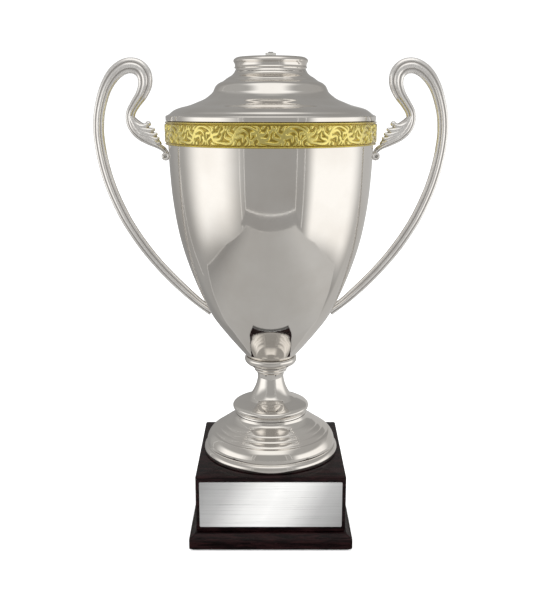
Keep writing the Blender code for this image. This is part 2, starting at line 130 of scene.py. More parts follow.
def rounded(outline, radius, steps=4, sharpest=14.0):
    """A closed outline with every clear corner eased by about the radius."""
    eased = []
    count = len(outline)
    for index, point in enumerate(outline):
        corner = Vector(point)
        back = Vector(outline[index - 1]) - corner
        ahead = Vector(outline[(index + 1) % count]) - corner
        turn = math.degrees(back.angle(-ahead, 0.0))
        if turn < sharpest or point[0] < 1e-6:
            eased.append(tuple(corner))
            continue
        reach = min(radius, 0.45 * back.length, 0.45 * ahead.length)
        start = corner + back.normalized() * reach
        stop = corner + ahead.normalized() * reach
        for step in range(steps + 1):
            t = step / steps
            eased.append(tuple(start * (1 - t) ** 2 + corner * 2 * t * (1 - t) + stop * t * t))
    return eased


# ---------------------------------------------------------------- meshes


def mesh_object(name, verts, faces, material, sharp=38.0):
    """A smooth-shaded object in metres from vertices in millimetres, with its faces turned outwards."""
    mesh = bpy.data.meshes.new(name)
    mesh.from_pydata((np.asarray(verts, float) * MM).tolist(), [], faces)
    shape = bmesh.new()
    shape.from_mesh(mesh)
    bmesh.ops.remove_doubles(shape, verts=shape.verts, dist=1e-7)
    bmesh.ops.recalc_face_normals(shape, faces=shape.faces)
    shape.to_mesh(mesh)
    shape.free()
    mesh.shade_smooth()
    mesh.set_sharp_from_angle(angle=math.radians(sharp))
    mesh.materials.append(material)
    obj = bpy.data.objects.new(name, mesh)
    bpy.context.scene.collection.objects.link(obj)
    return obj


def grid_faces(rows, columns, wrap_rows=False, start=0):
    """Quads over rows of points; every row is a closed ring."""
    faces = []
    for row in range(rows if wrap_rows else rows - 1):
        here = start + row * columns
        above = start + (row + 1) % rows * columns
        for column in range(columns):
            after = (column + 1) % columns
            faces.append((here + column, here + after, above + after, above + column))
    return faces


def lofted(name, rings, material, sharp=38.0):
    """A closed solid through a list of rings, capped at both ends."""
    rings = np.asarray(rings, float)
    rows, columns = rings.shape[:2]
    faces = grid_faces(rows, columns)
    faces.append(tuple(reversed(range(columns))))
    faces.append(tuple(range((rows - 1) * columns, rows * columns)))
    return mesh_object(name, rings.reshape(-1, 3), faces, material, sharp)


def turned(name, outline, material, around=AROUND, sharp=38.0):
    """A solid of revolution about the Z axis from a closed (radius, height) outline."""
    outline = np.asarray(outline, float)
    angles = np.arange(around) * 2 * math.pi / around
    verts = np.empty((around, len(outline), 3))
    verts[:, :, 0] = outline[:, 0] * np.cos(angles)[:, None]
    verts[:, :, 1] = outline[:, 0] * np.sin(angles)[:, None]
    verts[:, :, 2] = outline[:, 1]
    faces = grid_faces(around, len(outline), wrap_rows=True)
    return mesh_object(name, verts.reshape(-1, 3), faces, material, sharp)


def place(obj, body, slot, *nodes):
    """Hangs a new piece on the body it rides on and hides the CAD nodes it stands for; the slot, for its
    finish, is not used.
    """
    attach(obj, body)
    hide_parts(*nodes)
    return obj


# ---------------------------------------------------------------- material helpers


def add_node(tree, kind, inputs=None, **settings):
    """A shader node with its settings and its inputs, each a value or another node's output."""
    made = tree.nodes.new(kind)
    for key, value in settings.items():
        setattr(made, key, value)
    for key, value in (inputs or {}).items():
        if isinstance(value, bpy.types.NodeSocket):
            tree.links.new(value, made.inputs[key])
        else:
            made.inputs[key].default_value = value
    return made


def new_material(name, **constants):
    """A material with one Principled shader, and the constants that sit on that shader's own sockets."""
    material = bpy.data.materials.new(name)
    material.use_nodes = True
    tree = material.node_tree
    shader = tree.nodes["Principled BSDF"]
    for key, value in constants.items():
        shader.inputs[key.replace("_", " ")].default_value = value
    coords = add_node(tree, "ShaderNodeTexCoord").outputs["Object"]
    return material, tree, shader, coords


def noise(tree, coords, scale, stretch=(1.0, 1.0, 1.0), detail=3.0, roughness=0.5, distortion=0.0):
    """Noise in object space; scale is in features per metre before the stretch."""
    mapping = add_node(tree, "ShaderNodeMapping", {"Vector": coords, "Scale": stretch})
    made = add_node(
        tree,
        "ShaderNodeTexNoise",
        {
            "Vector": mapping.outputs["Vector"],
            "Scale": scale,
            "Detail": detail,
            "Roughness": roughness,
            "Distortion": distortion,
        },
    )
    return made.outputs["Fac"]


def spread(tree, value, low, high, start=0.3, stop=0.7):
    """The value between start and stop, mapped to low and high."""
    made = add_node(
        tree,
        "ShaderNodeMapRange",
        {"Value": value, "From Min": start, "From Max": stop, "To Min": low, "To Max": high},
    )
    return made.outputs["Result"]


def colour_ramp(tree, value, stops):
    """A colour ramp with stops of (position, (r, g, b))."""
    made = add_node(tree, "ShaderNodeValToRGB", {"Fac": value})
    ramp = made.color_ramp
    while len(ramp.elements) < len(stops):
        ramp.elements.new(1.0)
    for element, (position, colour) in zip(ramp.elements, stops):
        element.position = position
        element.color = (*colour, 1.0)
    return made.outputs["Color"]


def mixed(tree, share, first, second, blend_type="MIX"):
    """Two colours mixed by a share."""
    made = add_node(tree, "ShaderNodeMix", data_type="RGBA", blend_type=blend_type)
    for socket, value in (("Factor", share), ("A", first), ("B", second)):
        target = next(s for s in made.inputs if s.name == socket and s.enabled)
        if isinstance(value, bpy.types.NodeSocket):
            tree.links.new(value, target)
        else:
            target.default_value = value
    return next(s for s in made.outputs if s.enabled)


def bump(tree, shader, height, strength, distance, base=None):
    """A bump of that height into the shader, after another bump where there is one."""
    inputs = {"Height": height, "Strength": strength, "Distance": distance}
    if base:
        inputs["Normal"] = base
    made = add_node(tree, "ShaderNodeBump", inputs)
    tree.links.new(made.outputs["Normal"], shader.inputs["Normal"])
    return made.outputs["Normal"]


def relief_attribute(obj, values):
    """Stores a share from 0, deep in the work, to 1, on its ridges, on every vertex; the gilt paints shade
    into the colour where it is low.
    """
    attribute = obj.data.attributes.new("relief", "FLOAT", "POINT")
    attribute.data.foreach_set("value", np.asarray(values, np.float32))


# ---------------------------------------------------------------- materials

SILVER_LIGHT = (0.86, 0.84, 0.81)
SILVER_DEEP = (0.78, 0.75, 0.71)


def turning_marks(tree, coords):
    """Fine rings left by spinning: noise along the radius plus the height."""
    flat = add_node(tree, "ShaderNodeVectorMath", {0: coords, 1: (1.0, 1.0, 0.0)}, operation="MULTIPLY")
    radius = add_node(tree, "ShaderNodeVectorMath", {0: flat.outputs["Vector"]}, operation="LENGTH")
    height = add_node(tree, "ShaderNodeSeparateXYZ", {"Vector": coords})
    total = add_node(
        tree, "ShaderNodeMath", {0: radius.outputs["Value"], 1: height.outputs["Z"]}, operation="ADD"
    )
    rings = add_node(
        tree,
        "ShaderNodeTexNoise",
        {"W": total.outputs["Value"], "Scale": 900.0, "Detail": 2.0},
        noise_dimensions="1D",
    )
    return rings.outputs["Fac"]


def spun_silver():
    """Bright silver plate on spun metal: a near mirror with faint turning marks and handling wear."""
    material, tree, shader, coords = new_material("spun_silver", Metallic=1.0, Roughness=0.05)
    cloud = noise(tree, coords, 22.0, detail=4.0)
    colour = colour_ramp(tree, cloud, [(0.35, SILVER_DEEP), (0.62, SILVER_LIGHT)])
    tree.links.new(colour, shader.inputs["Base Color"])
    wear = noise(tree, coords, 160.0, detail=5.0, roughness=0.65)
    tree.links.new(spread(tree, wear, 0.035, 0.085), shader.inputs["Roughness"])
    waves = noise(tree, coords, 30.0, detail=1.0)
    first = bump(tree, shader, waves, 0.10, 0.0004)
    bump(tree, shader, turning_marks(tree, coords), 0.05, 0.00003, first)
    return material


def cast_silver():
    """Silver plate on cast metal: slightly soft reflections, with painted shade grey in the grooves and
    bright on the ridges.
    """
    material, tree, shader, coords = new_material("cast_silver", Metallic=0.9, Roughness=0.2)
    relief = add_node(tree, "ShaderNodeAttribute", attribute_name="relief").outputs["Fac"]
    cloud = noise(tree, coords, 120.0, detail=4.0)
    polished = colour_ramp(tree, cloud, [(0.35, (0.84, 0.82, 0.80)), (0.65, (0.92, 0.91, 0.89))])
    # Painted shade: where the relief share is low, in the grooves and at the lobes' edges, the colour is
    # mixed towards this grey.
    groove = (0.46, 0.44, 0.42, 1.0)
    share = spread(tree, relief, 0.0, 1.0, 0.15, 0.7)
    tree.links.new(mixed(tree, share, groove, polished), shader.inputs["Base Color"])
    grain = noise(tree, coords, 420.0, detail=4.0, roughness=0.6)
    tree.links.new(spread(tree, grain, 0.15, 0.27), shader.inputs["Roughness"])
    bump(tree, shader, grain, 0.06, 0.0002)
    return material


def gilt():
    """Gilding over embossed metal under clear lacquer: yellow on the ridges, and brown in the crevices as
    painted shade.
    """
    material, tree, shader, coords = new_material(
        "gilt", Metallic=1.0, Roughness=0.24, Coat_Weight=1.0, Coat_Roughness=0.12
    )
    relief = add_node(tree, "ShaderNodeAttribute", attribute_name="relief").outputs["Fac"]
    # Painted shade: the colour follows the relief share, darkest in the crevices and palest on the ridge
    # tops.
    colour = colour_ramp(
        tree,
        relief,
        [
            (0.0, (0.40, 0.29, 0.035)),
            (0.25, (0.66, 0.52, 0.085)),
            (0.60, (0.82, 0.68, 0.15)),
            (1.0, (0.93, 0.81, 0.25)),
        ],
    )
    patina = noise(tree, coords, 260.0, detail=4.0, roughness=0.6)
    toned = mixed(tree, spread(tree, patina, 0.0, 0.30), colour, (0.50, 0.38, 0.06, 1.0))
    tree.links.new(toned, shader.inputs["Base Color"])
    tree.links.new(spread(tree, patina, 0.20, 0.36), shader.inputs["Roughness"])
    grain = noise(tree, coords, 1500.0, detail=2.0)
    bump(tree, shader, grain, 0.15, 0.0001)
    return material


def rosewood_lacquer():
    """Nearly black rosewood under a polished clear lacquer, with its grain along X."""
    material, tree, shader, coords = new_material(
        "rosewood_lacquer", Roughness=0.3, Specular_IOR_Level=0.06, Coat_Weight=0.18, Coat_Roughness=0.03
    )
    streaks = noise(tree, coords, 60.0, (1.0, 5.0, 9.0), detail=6.0, roughness=0.6, distortion=0.6)
    pores = noise(tree, coords, 260.0, (1.0, 8.0, 12.0), detail=3.0, roughness=0.7)
    grain = colour_ramp(
        tree,
        streaks,
        [
            (0.30, (0.0016, 0.0006, 0.0007)),
            (0.46, (0.0040, 0.0013, 0.0016)),
            (0.60, (0.0140, 0.0046, 0.0050)),
            (0.76, (0.0056, 0.0018, 0.0020)),
        ],
    )
    pore_share = spread(tree, pores, 0.0, 0.7, 0.52, 0.72)
    tree.links.new(mixed(tree, pore_share, grain, (0.002, 0.001, 0.001, 1.0)), shader.inputs["Base Color"])
    tree.links.new(spread(tree, pores, 0.22, 0.38), shader.inputs["Roughness"])
    bump(tree, shader, noise(tree, coords, 45.0, detail=2.0), 0.05, 0.0002)
    return material


def brushed_plate():
    """Brushed aluminium with its grain along X, and a painted highlight: a pale band across the middle on the
    slant, darker away from it.
    """
    material, tree, shader, coords = new_material(
        "brushed_plate", Metallic=0.45, Roughness=0.32, Anisotropic=0.5
    )
    middle = (PLATE_LOW + PLATE_HIGH) / 2 * MM
    parts = add_node(tree, "ShaderNodeSeparateXYZ", {"Vector": coords})
    rise = add_node(
        tree,
        "ShaderNodeMath",
        {0: parts.outputs["Z"], 1: middle.z},
        operation="SUBTRACT",
    )
    slant = add_node(
        tree,
        "ShaderNodeMath",
        {0: rise.outputs["Value"], 1: -0.55, 2: parts.outputs["X"]},
        operation="MULTIPLY_ADD",
    )
    across = add_node(tree, "ShaderNodeMath", {0: slant.outputs["Value"]}, operation="ABSOLUTE")
    # Painted highlight: the colour is palest along a diagonal line through the middle and greys away from it.
    painted_highlight = colour_ramp(
        tree,
        spread(tree, across.outputs["Value"], 0.0, 1.0, 0.0, 0.058),
        [
            (0.0, (0.98, 0.98, 0.97)),
            (0.28, (0.86, 0.86, 0.85)),
            (0.60, (0.50, 0.50, 0.50)),
            (1.0, (0.32, 0.32, 0.32)),
        ],
    )
    lines = noise(tree, coords, 900.0, (0.02, 1.0, 3.0), detail=4.0, roughness=0.7)
    tone = colour_ramp(tree, lines, [(0.3, (0.80, 0.80, 0.80)), (0.7, (1.0, 1.0, 1.0))])
    tree.links.new(mixed(tree, 1.0, painted_highlight, tone, "MULTIPLY"), shader.inputs["Base Color"])
    tree.links.new(spread(tree, lines, 0.26, 0.40), shader.inputs["Roughness"])
    bump(tree, shader, lines, 0.10, 0.00005)
    return material


def wool_felt():
    """Dark green-black felt with short tangled fibres."""
    material, tree, shader, coords = new_material(
        "wool_felt", Roughness=0.95, Sheen_Weight=0.4, Sheen_Roughness=0.6
    )
    fibres = noise(tree, coords, 900.0, detail=6.0, roughness=0.75, distortion=2.0)
    colour = colour_ramp(tree, fibres, [(0.3, (0.008, 0.010, 0.009)), (0.7, (0.040, 0.046, 0.042))])
    tree.links.new(colour, shader.inputs["Base Color"])
    bump(tree, shader, fibres, 0.6, 0.0003)
    return material


def zinc_steel():
    """Bright zinc plate on turned steel fasteners."""
    material, tree, shader, coords = new_material("zinc_steel", Metallic=1.0, Roughness=0.3)
    cloud = noise(tree, coords, 350.0, detail=4.0, roughness=0.6)
    colour = colour_ramp(tree, cloud, [(0.3, (0.50, 0.50, 0.48)), (0.7, (0.68, 0.68, 0.66))])
    tree.links.new(colour, shader.inputs["Base Color"])
    tree.links.new(spread(tree, cloud, 0.22, 0.42), shader.inputs["Roughness"])
    bump(tree, shader, noise(tree, coords, 2200.0, detail=2.0), 0.15, 0.00005)
    return material


# ---------------------------------------------------------------- base

SQUARE_SIDE_POINTS = 12  # points along each side of a square ring, between its corners
SQUARE_CORNER_POINTS = 6


def square_ring(half, corner, height):
    """A ring round a square with rounded corners, anticlockwise from above."""
    ring = []
    for quarter in range(4):
        start = quarter * math.pi / 2 - math.pi / 4
        turn = Matrix.Rotation(start + math.pi / 4, 2)
        inner = half - corner
        for step in range(SQUARE_CORNER_POINTS):
            angle = -math.pi / 2 * (1 - step / (SQUARE_CORNER_POINTS - 1))
            angle = angle + math.pi / 2
            place_2d = Vector((inner + corner * math.cos(angle), inner + corner * math.sin(angle)))
            ring.append((*(turn @ place_2d), height))
        for step in range(1, SQUARE_SIDE_POINTS):
            share = step / SQUARE_SIDE_POINTS
            place_2d = Vector((inner * (1 - 2 * share), half))
            ring.append((*(turn @ place_2d), height))
    return ring


def round_ring(half, corner, radius, height):
    """The same number of points as a square ring, set out on a circle."""
    ring = []
    for x, y, _ in square_ring(half, corner, height):
        angle = math.atan2(y, x)
        ring.append((radius * math.cos(angle), radius * math.sin(angle), height))
    return ring


def bored_block(name, outline, corner, bore, material):
    """A square moulding with a round stepped hole up its middle.

    outline is (half side, height) from the underside to the top, and bore is (radius, height) from the
    top back to the underside.
    """
    rings = [square_ring(half, min(corner, half / 4), height) for half, height in outline]
    widest = max(half for half, _ in outline)
    rings += [round_ring(widest, corner, radius, height) for radius, height in bore]
    rings = np.asarray(rings, float)
    rows, columns = rings.shape[:2]
    faces = grid_faces(rows, columns, wrap_rows=True)
    return mesh_object(name, rings.reshape(-1, 3), faces, material, 30.0)


def build_base(lacquer, plate, felt):
    """The moulded plinth, the block on it, the name plate and the felt underneath."""
    half = PLINTH_HIGH.x
    bottom = PLINTH_LOW.z
    top = PLINTH_HIGH.z
    lip = BLOCK_HIGH.x + 0.35
    face_top = bottom + 7.5
    cove_keys = [(half - 0.5, face_top + 0.35), (half - 1.5, face_top + 0.8)]
    cove_keys += [(lip + 1.2, top - 1.1), (lip + 0.7, top - 0.6)]
    cove = curve_through(cove_keys, 4)
    outline = [
        (half - 0.7, bottom),
        (half - 0.2, bottom + 0.2),
        (half, bottom + 0.7),
        (half, face_top - 0.5),
        (half - 0.12, face_top),
        *cove,
        (lip + 0.6, top - 0.3),
        (lip + 0.3, top - 0.08),
        (lip, top),
    ]
    bore = [(PLINTH_WELL, top), (PLINTH_WELL, bottom)]
    plinth = bored_block("wood_plinth", outline, 1.0, bore, lacquer)
    place(plinth, "cup", "lacquer", "base_plinth")

    half = BLOCK_HIGH.x
    bottom = BLOCK_LOW.z
    top = BLOCK_HIGH.z
    edge = 1.0
    outline = [(half - edge, bottom), (half - 0.3, bottom + 0.3), (half, bottom + edge)]
    outline.append((half, (bottom + top) / 2))
    for step in range(7):
        angle = math.pi / 2 * step / 6
        outline.append((half - edge + edge * math.cos(angle), top - edge + edge * math.sin(angle)))
    well_top = bottom + BLOCK_WELL_DEPTH
    bore = [(ROD_HOLE, top), (ROD_HOLE, well_top), (BLOCK_WELL, well_top), (BLOCK_WELL, bottom)]
    block = bored_block("wood_block", outline, 1.2, bore, lacquer)
    place(block, "cup", "lacquer", "base_block")

    build_plate(plate)
    build_felt(felt)


def build_plate(material):
    """The name plate: thin sheet with rounded corners and a bright chamfered edge, left blank."""
    middle = (PLATE_LOW + PLATE_HIGH) / 2
    half = (PLATE_HIGH - PLATE_LOW) / 2
    corner = 0.9
    chamfer = 0.25
    back, front = PLATE_HIGH.y, PLATE_LOW.y
    rings = []
    for inset, y in ((0.0, back), (0.0, front + chamfer), (chamfer * 0.35, front + 0.08), (chamfer, front)):
        ring = []
        for quarter in range(4):
            for step in range(6):
                angle = math.pi / 2 * (quarter + step / 5)
                side_x = 1 if quarter in (0, 3) else -1
                side_z = 1 if quarter in (0, 1) else -1
                x = side_x * (half.x - corner) + (corner - inset) * math.cos(angle)
                z = side_z * (half.z - corner) + (corner - inset) * math.sin(angle)
                ring.append((middle.x + x, y, middle.z + z))
        rings.append(ring)
    plate = lofted("brushed_name_plate", rings, material, 20.0)
    place(plate, "cup", "plate", "name_plate")


def build_felt(material):
    """The felt under the plinth, with soft edges and an uneven surface."""
    half = FELT_HIGH.x
    top = FELT_HIGH.z
    outline = [
        (half - 0.5, 0.02),
        (half - 0.12, 0.2),
        (half, top * 0.55),
        (half - 0.1, top * 0.85),
        (half - 0.5, top),
    ]
    rings = [square_ring(side, 1.5, height) for side, height in outline]
    inner_sides = [0.9, 0.75, 0.6, 0.45, 0.3, 0.15]
    rings = [square_ring(half * share, 1.0, 0.0) for share in reversed(inner_sides)] + rings
    rings += [square_ring(half * share, 1.0, top) for share in inner_sides]
    rings = np.asarray(rings, float)
    wobble = np.sin(rings[:, :, 0] * 0.9) * np.cos(rings[:, :, 1] * 1.1) * 0.03
    rings[:, :, 2] = np.clip(rings[:, :, 2] + wobble, 0.0, top)
    pad = lofted("felt_underside", rings, material)
    place(pad, "cup", "felt", "base_felt_pad")


# ---------------------------------------------------------------- foot and stem


def build_foot(material):
    """The spun foot: a rolled rim, a full round roll and a stepped cone, open below."""
    rest = FOOT_LOW.z
    top = FOOT_HIGH.z
    rim = [(46.2, rest), (48.4, rest), (48.5, 55.6), (48.1, 57.0), (47.2, 58.2), (46.3, 58.6)]
    groove = [(46.0, 59.0), (46.3, 59.5)]
    roll = curve_through([(46.4, 60.2), (46.1, 62.6), (44.9, 65.4), (42.9, 67.8), (41.6, 68.5)], 5)
    cone = []
    for edge, height in ((41.3, 68.7), (37.7, 71.2), (34.2, 73.7)):
        cone += [(edge, height), (edge - 0.35, height + 0.25), (edge - 0.75, height + 0.75)]
        cone += [(edge - 2.2, height + 1.75), (edge - 2.9, height + 2.15)]
    neck = curve_through([(30.6, 76.3), (29.2, 77.1), (27.2, 78.5), (26.1, 79.8), (25.8, top)], 4)
    inside = [
        (ROD_HOLE, top),
        (ROD_HOLE, top - 1.6),
        (24.2, top - 1.6),
        (33.6, 71.8),
        (42.6, 65.6),
        (44.6, 60.4),
    ]
    outline = rounded([*rim, *groove, *roll, *cone, *neck, *inside], 0.55)
    place(turned("spun_foot", outline, material), "cup", "silver", "foot")


def build_stem(material):
    """The knop and waisted neck, and the dished seat ring under the bowl."""
    bottom = STEM_LOW.z
    top = STEM_HIGH.z
    under = curve_through([(25.6, bottom + 0.1), (25.4, 83.2), (25.8, 84.3), (26.6, 84.9)], 4)
    over_keys = [(27.2, 85.5), (27.4, 86.8), (26.9, 87.8), (25.4, 88.9), (21.9, 90.5), (18.0, 92.1)]
    over = curve_through(over_keys, 4)
    knop = [*under, *over]
    neck_keys = [(17.2, 92.6), (14.4, 94.8), (12.0, 98.8), (10.2, 103.4), (9.3, 108.4), (9.9, 111.8)]
    neck = curve_through(neck_keys, 6)
    ring = [(10.4, 112.5), (11.2, 112.8), (11.6, 113.4), (11.5, 114.2)]
    ring += [(12.2, 115.0), (12.9, 115.7), (12.9, top)]
    outline = rounded([(ROD_HOLE, bottom), (25.2, bottom), *knop, *neck, *ring, (ROD_HOLE, top)], 0.4)
    column = turned("knop_and_neck", outline, material, AROUND_SMALL * 2)
    place(column, "cup", "silver", "stem_column")

    seat = SEAT_LOW.z
    floor = seat + 3.5  # top of the seat ring in the middle of its dish
    outside = curve_through(
        [(13.2, seat + 0.1), (16.4, 118.2), (18.0, 119.8), (18.6, 121.4), (18.5, 122.8), (17.9, 123.7)], 4
    )
    dish = curve_through([(17.2, 123.8), (16.4, 123.2), (15.2, 121.9), (12.1, 120.4), (8.5, floor)], 4)
    outline = rounded([(ROD_HOLE, seat), (12.9, seat), *outside, *dish, (ROD_HOLE, floor)], 0.3)
    ring = turned("bowl_seat_ring", outline, material, AROUND_SMALL * 2)
    place(ring, "cup", "silver", "stem_collar")


# ---------------------------------------------------------------- bowl

# Key points of the bowl's outer wall, from the floor to the mouth, as (radius, height).
BOWL_KEYS = [
    (8.5, BOWL_LOW.z),
    (12.2, 120.9),
    (15.4, 122.4),
    (18.8, 126.0),
    (25.6, 134.0),
    (33.6, 144.0),
    (41.4, 155.0),
    (48.8, 170.0),
    (55.2, 186.0),
    (60.4, 202.0),
    (64.1, 218.0),
    (67.0, 238.0),
    (68.5, 258.0),
    (MOUTH_RADIUS, 274.0),
    (MOUTH_RADIUS, BOWL_HIGH.z),
]
BOWL_WALL = curve_through(BOWL_KEYS, 8)


def wall_radius(height):
    """Radius of the bowl's outer wall at a height."""
    radii, heights = zip(*BOWL_WALL)
    return float(np.interp(height, heights, radii))


def build_bowl(material):
    """The spun bowl: one thin wall from the floor to a rolled mouth, holed for the rod."""
    inside = offset_outline(BOWL_WALL, SHELL)
    inside[0] = (BOWL_WALL[0][0], BOWL_LOW.z + SHELL)
    mouth = [(MOUTH_RADIUS - 0.1, BOWL_HIGH.z - 0.35), (MOUTH_RADIUS - 0.5, BOWL_HIGH.z)]
    mouth += [(MOUTH_RADIUS - 0.9, BOWL_HIGH.z - 0.35)]
    outline = [
        (ROD_HOLE, BOWL_LOW.z),
        *BOWL_WALL[:-1],
        *mouth,
        *reversed(inside[:-1]),
        (ROD_HOLE, BOWL_LOW.z + SHELL),
    ]
    bowl = turned("spun_bowl", outline, material)
    place(bowl, "cup", "silver", "bowl")


# ---------------------------------------------------------------- embossed band

BAND_REPEATS = 15  # pairs of facing scrolls round the band
BAND_COLUMNS = 120  # samples along each pair
BAND_ROWS = 54  # samples up the embossed part
BAND_EDGE = 1.3  # plain bead above and below the work
RELIEF_HEIGHT = 0.85
STROKE_SPREAD = 1.25  # how far a stroke's slopes run out beyond its stated width
STROKE_FLATNESS = 1.25  # above 1, a stroke has a flat back with steeper sides
PAIR_LENGTH = 2 * math.pi * BAND_RADIUS / BAND_REPEATS
SCROLL_LENGTH = PAIR_LENGTH / 2


def comma(root, bend, tip, fat, thin):
    """One leaf stroke, fat where it starts and pointed at its tip."""
    return curve_through([root, bend, tip], 6), fat, thin


def scroll_strokes():
    """The strokes of half a wave of the running leaf: its stem, and the leaves that peel off the stem."""
    length = SCROLL_LENGTH
    stem = [(-1.0, -1.0), (1.3, 2.0), (3.7, 4.2), (7.4, 5.1), (11.1, 4.2), (13.5, 2.0), (length + 1.0, -1.0)]
    return [
        (curve_through(stem, 4), 1.0, 1.0),
        comma((12.4, 2.2), (9.0, 2.6), (7.2, 0.2), 1.5, 0.7),
        comma((13.8, -0.8), (10.6, -0.8), (9.8, -4.0), 1.5, 0.7),
        comma((3.0, 1.8), (5.2, 1.4), (4.7, -1.6), 1.3, 0.6),
        comma((1.4, -0.8), (3.0, -2.6), (2.0, -5.6), 1.3, 0.6),
        comma((7.6, -1.6), (6.2, -3.4), (7.6, -6.2), 1.4, 0.7),
        comma((4.6, -3.4), (4.2, -4.8), (5.2, -6.3), 1.1, 0.6),
        comma((13.0, -4.6), (12.4, -5.6), (12.8, -6.4), 1.2, 0.7),
        comma((0.6, 3.4), (1.4, 5.2), (3.4, 6.3), 1.2, 0.6),
        comma((14.2, 4.2), (12.8, 5.6), (10.6, 6.4), 1.1, 0.5),
    ]


def stroke_relief(along, up, points, start_width, stop_width):
    """Height from 0 to 1 of a round-backed stroke at every sample."""
    height = np.zeros_like(along)
    count = len(points) - 1
    for index in range(count):
        ax, ay = points[index]
        bx, by = points[index + 1]
        dx, dy = bx - ax, by - ay
        length_squared = max(dx * dx + dy * dy, 1e-9)
        share = np.clip(((along - ax) * dx + (up - ay) * dy) / length_squared, 0, 1)
        width = start_width + (stop_width - start_width) * (index + share) / count
        distance = np.hypot(along - ax - share * dx, up - ay - share * dy)
        slope = 1 - (distance / (STROKE_SPREAD * width)) ** 2
        ridge = np.clip(STROKE_FLATNESS * slope, 0, 1) * np.clip(width, 0.45, 1.0)
        height = np.maximum(height, ridge)
    return height


def band_relief():
    """Heights over one pair of scrolls, the second one upside down; rows run up the band."""
    work = BAND_HIGH.z - BAND_LOW.z - 2 * BAND_EDGE
    along, up = np.meshgrid(
        np.arange(BAND_COLUMNS) * PAIR_LENGTH / BAND_COLUMNS,
        np.linspace(-work / 2, work / 2, BAND_ROWS),
    )
    sway = 0.9 * np.sin(2 * math.pi * along / PAIR_LENGTH + 0.4 * up)
    lift = 0.5 * np.sin(4 * math.pi * along / PAIR_LENGTH + 1.0)
    height = np.zeros_like(along)
    for points, start_width, stop_width in scroll_strokes():
        for turn in (0, 1):
            flip = 1 - 2 * turn
            for repeat in (-1, 0, 1):
                shift = turn * SCROLL_LENGTH + repeat * PAIR_LENGTH
                moved = [(x + shift, flip * y) for x, y in points]
                stroke = stroke_relief(along + sway, up + lift, moved, start_width, stop_width)
                height = np.maximum(height, stroke)
    fade = np.clip((work / 2 - np.abs(up)) / 0.5, 0, 1)
    return height * fade


def build_band(material):
    """The gilt band pressed round the mouth, embossed with running leaf scrolls between two beads."""
    low, high = BAND_LOW.z, BAND_HIGH.z
    inner = MOUTH_RADIUS + GAP
    ground = BAND_RADIUS - RELIEF_HEIGHT
    relief = band_relief()
    heights = np.linspace(low + BAND_EDGE, high - BAND_EDGE, BAND_ROWS)
    bead = 0.55
    turns = np.linspace(0, math.pi, 9)
    lower_bead = [(ground + bead * math.sin(a), low + bead - bead * math.cos(a)) for a in turns]
    upper_bead = [(radius, low + high - height) for radius, height in reversed(lower_bead)]
    edges = [(inner, high), (inner, low)]
    # Colour shares for the gilt's painted shade: none at the roots of the beads, more on their tops, and the
    # relief height over the work.
    shares = np.zeros(len(lower_bead))
    shares[2:7] = 0.45
    crown = 0.12 * (1 - ((heights - (low + high) / 2) / ((high - low) / 2)) ** 2)
    around = BAND_REPEATS * BAND_COLUMNS
    rows = []
    store = []
    for column in range(around):
        lift = relief[:, column % BAND_COLUMNS]
        radii = ground - 0.12 + crown + lift * RELIEF_HEIGHT
        outline = [*lower_bead, *zip(radii, heights), *upper_bead, *edges]
        angle = -2 * math.pi * column / around
        cos, sin = math.cos(angle), math.sin(angle)
        rows.append([(radius * cos, radius * sin, height) for radius, height in outline])
        store.append([*shares, *np.clip(lift * 1.15, 0, 1), *reversed(shares), 0.3, 0.3])
    rows = np.asarray(rows, float)
    faces = grid_faces(around, rows.shape[1], wrap_rows=True)
    band = mesh_object("embossed_band", rows.reshape(-1, 3), faces, material, 60.0)
    relief_attribute(band, np.asarray(store).ravel())
    place(band, "cup", "gold", "rim_band")


# ---------------------------------------------------------------- handles

# The strap's centre line on the +X side, from its foot on the bowl to its upper curl,
# as (x, z, half width in the XZ plane, half depth along Y).
HANDLE_KEYS = [
    (41.6, 156.4, 3.5, 3.2),
    (49.6, 161.9, 3.0, 3.0),
    (58.0, 169.2, 3.3, 2.8),
    (69.7, 180.7, 3.5, 2.6),
    (79.8, 192.0, 3.5, 2.6),
    (88.4, 203.2, 3.6, 2.6),
    (95.7, 214.4, 3.6, 2.6),
    (101.8, 225.5, 3.7, 2.6),
    (108.7, 241.9, 3.7, 2.6),
    (113.3, 258.1, 3.7, 2.6),
    (115.8, 274.2, 3.7, 2.6),
    (116.0, 286.0, 3.7, 2.6),
    (114.4, 297.0, 3.8, 2.6),
    (110.2, 309.6, 4.1, 2.7),
    (104.0, 318.8, 4.7, 2.9),
    (96.6, 323.6, 5.0, 3.0),
    (89.5, 323.5, 5.2, 3.1),
    (84.6, 319.2, 5.1, 3.1),
    (83.7, 312.5, 4.7, 3.0),
    (86.3, 305.6, 4.0, 2.8),
    (90.6, 299.4, 3.4, 2.6),
    (93.9, 293.6, 3.2, 2.5),
    (94.3, 287.8, 3.1, 2.5),
    (92.2, 282.4, 3.0, 2.5),
    (87.8, 277.7, 2.7, 2.5),
    (81.8, 274.2, 2.3, 2.4),
    (77.0, 271.9, 1.9, 2.4),
    (73.6, 270.1, 1.8, 2.4),
    (71.4, 267.9, 1.7, 2.4),
    (71.0, 266.2, 1.3, 2.3),
]
STRAP_AROUND = 56  # points round the strap's section
STRAP_STEPS = 9  # stations between two key points
SCROLL_CENTRE = (71.6, 264.8)
